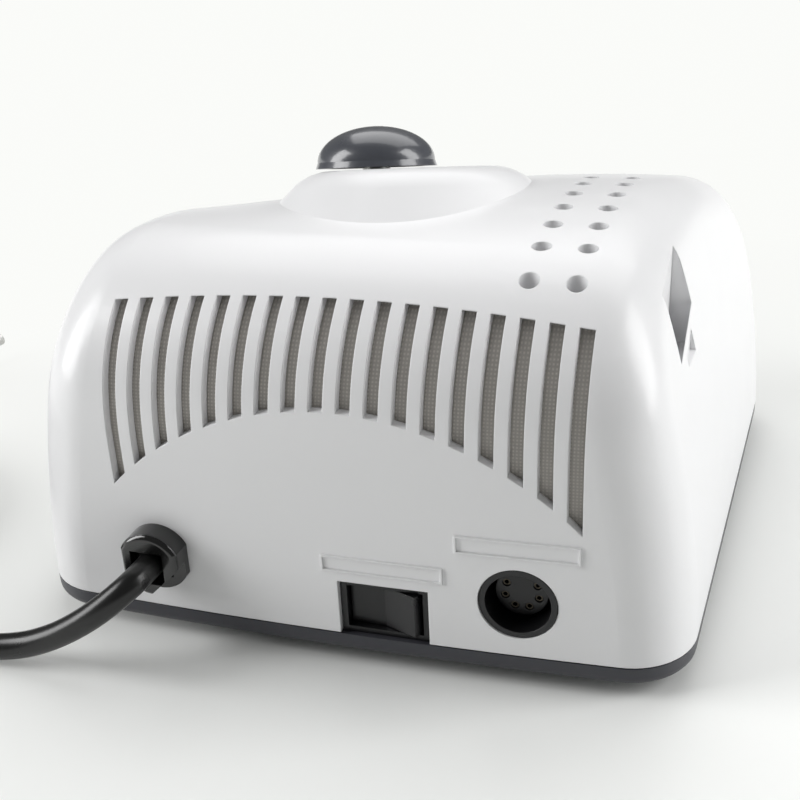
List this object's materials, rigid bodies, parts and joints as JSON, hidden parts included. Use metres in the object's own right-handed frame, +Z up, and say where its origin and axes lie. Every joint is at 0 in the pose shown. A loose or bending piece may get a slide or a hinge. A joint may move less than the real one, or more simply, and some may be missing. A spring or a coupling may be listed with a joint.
{
  "type": "nail drill machine",
  "caption": "Desktop nail drill control unit: rounded white housing on a grey tray, top speed knob, rear vent slots, rocker switch, foot control socket and mains cord.",
  "frame": {"origin": "centre of the machine's footprint on the table, under the rubber feet", "axes": "+Z up, +Y out of the rear face with the vent slots and the mains cord, +X towards the cord's side of that face"},
  "size_m": [0.2925, 0.1749, 0.0997],
  "materials": {
    "white_abs": "satin gloss",
    "grey_abs": "fine satin",
    "knob_grey": "soft satin",
    "black_plastic": "satin",
    "panel_grey": "satin",
    "cord_pvc": "satin",
    "foot_rubber": "matte",
    "screen_fibre": "matte",
    "zinc_steel": "zinc plated",
    "core_steel": "laminated",
    "contact_brass": "plated",
    "coil_tape": "tape",
    "board_green": "solder mask",
    "sink_aluminium": "extruded",
    "capacitor_sleeve": "shrink sleeve",
    "relay_blue": "moulded",
    "terminal_green": "moulded",
    "fuse_glass": "clear",
    "lamp_red": "tinted epoxy"
  },
  "bodies": {
    "machine": {"upper_housing": "white_abs", "base_tray": "grey_abs", "rubber_feet": "foot_rubber", "base_screws": "zinc_steel", "dust_screen": "screen_fibre", "pot_body": "zinc_steel", "pot_washer": "zinc_steel", "pot_nut": "zinc_steel", "mode_switch_body": "black_plastic", "power_switch_body": "black_plastic", "direction_switch_body": "black_plastic", "foot_socket_shell": "black_plastic", "foot_socket_insert": "black_plastic", "foot_socket_contacts": "contact_brass", "front_panel": "panel_grey", "handpiece_socket_shell": "black_plastic", "handpiece_socket_contact": "contact_brass", "control_board": "board_green", "indicator_lamps": "lamp_red", "main_board": "board_green", "board_screws": "zinc_steel", "heat_sink": "sink_aluminium", "power_transistor": "black_plastic", "smoothing_capacitors": "capacitor_sleeve", "rectifier": "black_plastic", "relay": "relay_blue", "terminal_block": "terminal_green", "fuse_holder": "zinc_steel", "fuse": "fuse_glass", "transformer_core": "core_steel", "transformer_coil": "coil_tape", "transformer_bracket": "zinc_steel", "transformer_screws": "zinc_steel", "strain_relief": "black_plastic", "mains_cord": "cord_pvc", "cord_coil": "cord_pvc", "cord_tie": "black_plastic", "plug_cord": "cord_pvc", "plug_body": "black_plastic", "plug_pins": "zinc_steel"},
    "knob": {"speed_knob": "knob_grey", "pot_shaft": "zinc_steel"},
    "mode_rocker": {"mode_rocker": "black_plastic"},
    "power_rocker": {"power_rocker": "black_plastic"},
    "direction_rocker": {"direction_rocker": "black_plastic"}
  },
  "joints": [
    {"name": "knob_turn", "type": "hinge", "parent": "machine", "child": "knob", "pos_m": [0.0112, -0.003, 0.08377], "axis": [0.0674, -0.2588, 0.9636], "range_deg": [-150, 150]},
    {"name": "mode_rock", "type": "hinge", "parent": "machine", "child": "mode_rocker", "pos_m": [-0.0115, 0.07275, 0.01435], "axis": [0, 0, 1], "range_deg": [0, 24]},
    {"name": "power_rock", "type": "hinge", "parent": "machine", "child": "power_rocker", "pos_m": [0.038, -0.0688, 0.0226], "axis": [0, 0, 1], "range_deg": [0, 24]},
    {"name": "direction_rock", "type": "hinge", "parent": "machine", "child": "direction_rocker", "pos_m": [0.008, -0.0688, 0.0226], "axis": [0, 0, 1], "range_deg": [0, 24]}
  ]
}
